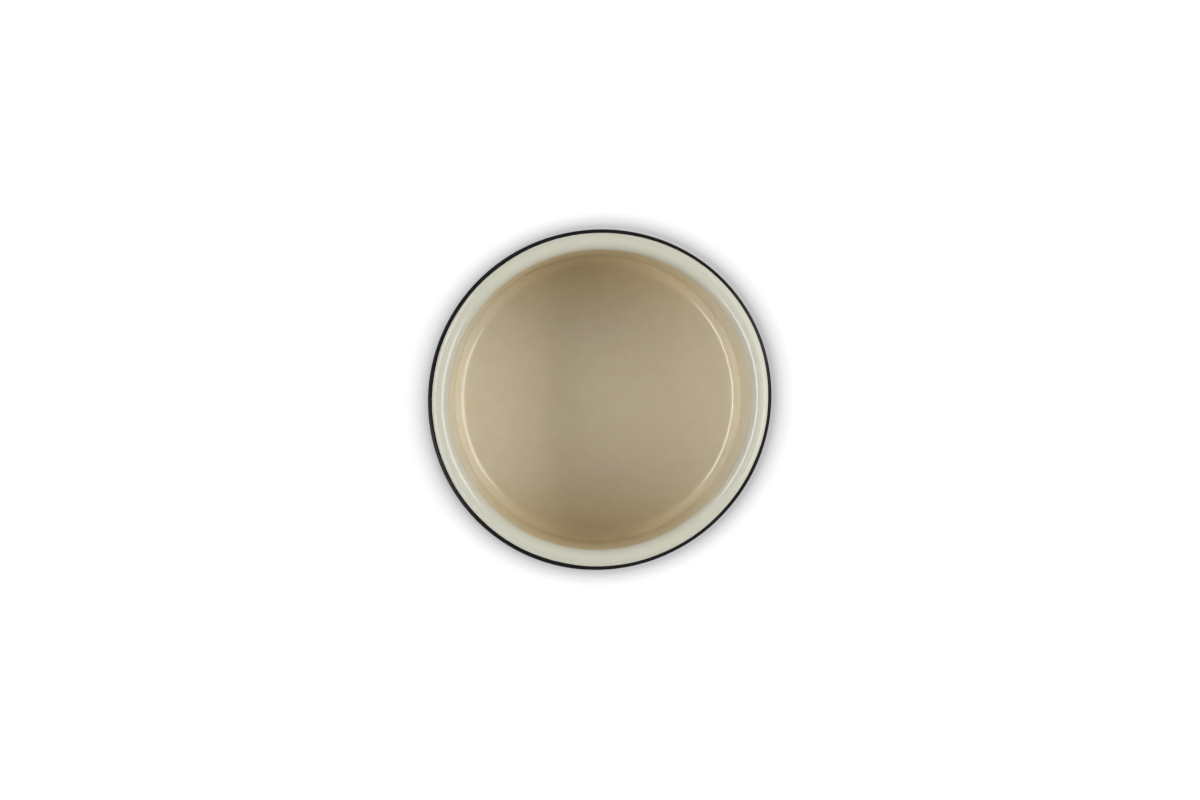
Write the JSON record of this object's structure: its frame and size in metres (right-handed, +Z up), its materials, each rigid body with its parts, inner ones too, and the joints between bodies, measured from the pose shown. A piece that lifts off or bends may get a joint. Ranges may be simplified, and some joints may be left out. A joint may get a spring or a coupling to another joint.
{
  "type": "ramekin",
  "caption": "Round straight-sided stoneware ramekin with a cream well, a black outside, a full-round lip, a collar band and a stacking foot.",
  "frame": {"origin": "centre of the bare foot ring, on the surface that the dish stands on", "axes": "+Z up along the axis of the bowl; the dish is turned, so X and Y are alike"},
  "size_m": [0.094, 0.094, 0.055],
  "materials": {
    "clay": "bare fired stoneware, matt",
    "cream_glaze": "glossy cream glaze",
    "black_glaze": "glossy black glaze",
    "base_glaze": "glossy black glaze, thinner"
  },
  "bodies": {
    "root": {"stoneware_body": "clay", "interior_glaze": "cream_glaze", "exterior_glaze": "black_glaze", "underside_glaze": "base_glaze"}
  },
  "joints": []
}
